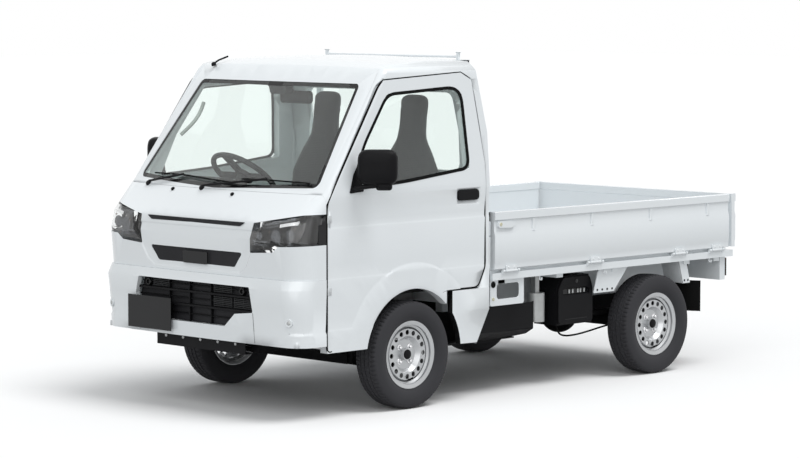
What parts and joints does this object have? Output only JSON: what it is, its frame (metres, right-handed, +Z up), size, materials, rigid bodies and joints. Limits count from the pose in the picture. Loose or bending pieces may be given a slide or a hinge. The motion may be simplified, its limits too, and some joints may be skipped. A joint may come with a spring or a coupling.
{
  "type": "kei truck",
  "caption": "Small cab-over truck with a hollow two-seat cab, a drop-side cargo bed on a ladder frame, steered front wheels and a leaf-sprung rear axle.",
  "frame": {"origin": "on the ground, midway along the length and the width", "axes": "-Y is the front, +X is the vehicle's left side, +Z is up"},
  "size_m": [1.822, 3.3947, 1.7644],
  "materials": {
    "white_paint": "gloss",
    "black_plastic": "satin",
    "grey_plastic": "matt",
    "lamp_lens": "clear",
    "tinted_glass": "green tinted",
    "seat_fabric": "woven",
    "black_steel": "satin",
    "silver_steel": "satin",
    "cast_metal": "cast",
    "tyre_rubber": "matt",
    "flap_rubber": "matt",
    "red_lens": "clear"
  },
  "bodies": {
    "truck": {"cab_shell": "white_paint", "nose_panel": "white_paint", "front_bumper": "white_paint", "windscreen": "tinted_glass", "rear_window": "tinted_glass", "headlamps": "lamp_lens", "grilles": "black_plastic", "number_plate": "black_plastic", "undertray": "black_plastic", "wipers": "black_plastic", "antenna": "black_plastic", "dashboard": "grey_plastic", "seats": "seat_fabric", "steering_column": "grey_plastic", "chassis_frame": "black_steel", "engine": "cast_metal", "front_suspension": "black_steel", "rear_axle": "black_steel", "leaf_springs": "black_steel", "exhaust": "silver_steel", "fuel_tank": "black_steel", "battery_box": "black_plastic", "canister": "grey_plastic", "engine_cover": "black_plastic", "spare_wheel": "tyre_rubber", "bed_floor": "white_paint", "bed_frame": "white_paint", "guard_frame": "white_paint", "tail_lamps": "red_lens", "rear_fenders": "white_paint", "mud_flaps": "flap_rubber"},
    "door_left": {"door_left": "white_paint", "door_glass_left": "tinted_glass", "mirror_left": "black_plastic"},
    "door_right": {"door_right": "white_paint", "door_glass_right": "tinted_glass", "mirror_right": "black_plastic"},
    "side_gate_left": {"side_gate_left": "white_paint"},
    "side_gate_right": {"side_gate_right": "white_paint"},
    "tailgate": {"tailgate": "white_paint"},
    "steering_wheel": {"steering_wheel": "grey_plastic"},
    "knuckle_left": {"knuckle_left": "black_steel"},
    "knuckle_right": {"knuckle_right": "black_steel"},
    "wheel_front_left": {"tyre_front_left": "tyre_rubber", "rim_front_left": "silver_steel"},
    "wheel_front_right": {"tyre_front_right": "tyre_rubber", "rim_front_right": "silver_steel"},
    "wheel_rear_left": {"tyre_rear_left": "tyre_rubber", "rim_rear_left": "silver_steel"},
    "wheel_rear_right": {"tyre_rear_right": "tyre_rubber", "rim_rear_right": "silver_steel"}
  },
  "joints": [
    {"name": "door_left_hinge", "type": "hinge", "parent": "truck", "child": "door_left", "pos_m": [0.728, -1.45, 0.8], "axis": [0, 0, -1], "range_deg": [0, 68]},
    {"name": "door_right_hinge", "type": "hinge", "parent": "truck", "child": "door_right", "pos_m": [-0.728, -1.45, 0.8], "axis": [0, 0, 1], "range_deg": [0, 68]},
    {"name": "side_gate_left_hinge", "type": "hinge", "parent": "truck", "child": "side_gate_left", "pos_m": [0.7292, 0.68, 0.645], "axis": [0, 1, 0], "range_deg": [0, 178]},
    {"name": "side_gate_right_hinge", "type": "hinge", "parent": "truck", "child": "side_gate_right", "pos_m": [-0.7292, 0.68, 0.645], "axis": [0, -1, 0], "range_deg": [0, 178]},
    {"name": "tailgate_hinge", "type": "hinge", "parent": "truck", "child": "tailgate", "pos_m": [0, 1.6892, 0.645], "axis": [-1, 0, 0], "range_deg": [0, 178]},
    {"name": "steering", "type": "hinge", "parent": "truck", "child": "steering_wheel", "pos_m": [-0.345, -1.03, 1.12], "axis": [0, 0.6428, 0.766], "range_deg": [-630, 630]},
    {"name": "knuckle_left_turn", "type": "hinge", "parent": "truck", "child": "knuckle_left", "pos_m": [0.6, -0.8725, 0.27], "axis": [0, 0, 1], "range_deg": [-35.01, 35.01]},
    {"name": "knuckle_right_turn", "type": "hinge", "parent": "truck", "child": "knuckle_right", "pos_m": [-0.6, -0.8725, 0.27], "axis": [0, 0, 1], "range_deg": [-35.01, 35.01]},
    {"name": "wheel_front_left_spin", "type": "hinge", "parent": "knuckle_left", "child": "wheel_front_left", "pos_m": [0.6525, -0.8725, 0.27], "axis": [1, 0, 0], "continuous": true},
    {"name": "wheel_front_right_spin", "type": "hinge", "parent": "knuckle_right", "child": "wheel_front_right", "pos_m": [-0.6525, -0.8725, 0.27], "axis": [1, 0, 0], "continuous": true},
    {"name": "wheel_rear_left_spin", "type": "hinge", "parent": "truck", "child": "wheel_rear_left", "pos_m": [0.65, 1.0325, 0.27], "axis": [1, 0, 0], "continuous": true},
    {"name": "wheel_rear_right_spin", "type": "hinge", "parent": "truck", "child": "wheel_rear_right", "pos_m": [-0.65, 1.0325, 0.27], "axis": [1, 0, 0], "continuous": true}
  ],
  "couplings": [
    {"joint": "knuckle_left_turn", "follows": "steering", "ratio": 0.055556},
    {"joint": "knuckle_right_turn", "follows": "steering", "ratio": 0.055556}
  ]
}
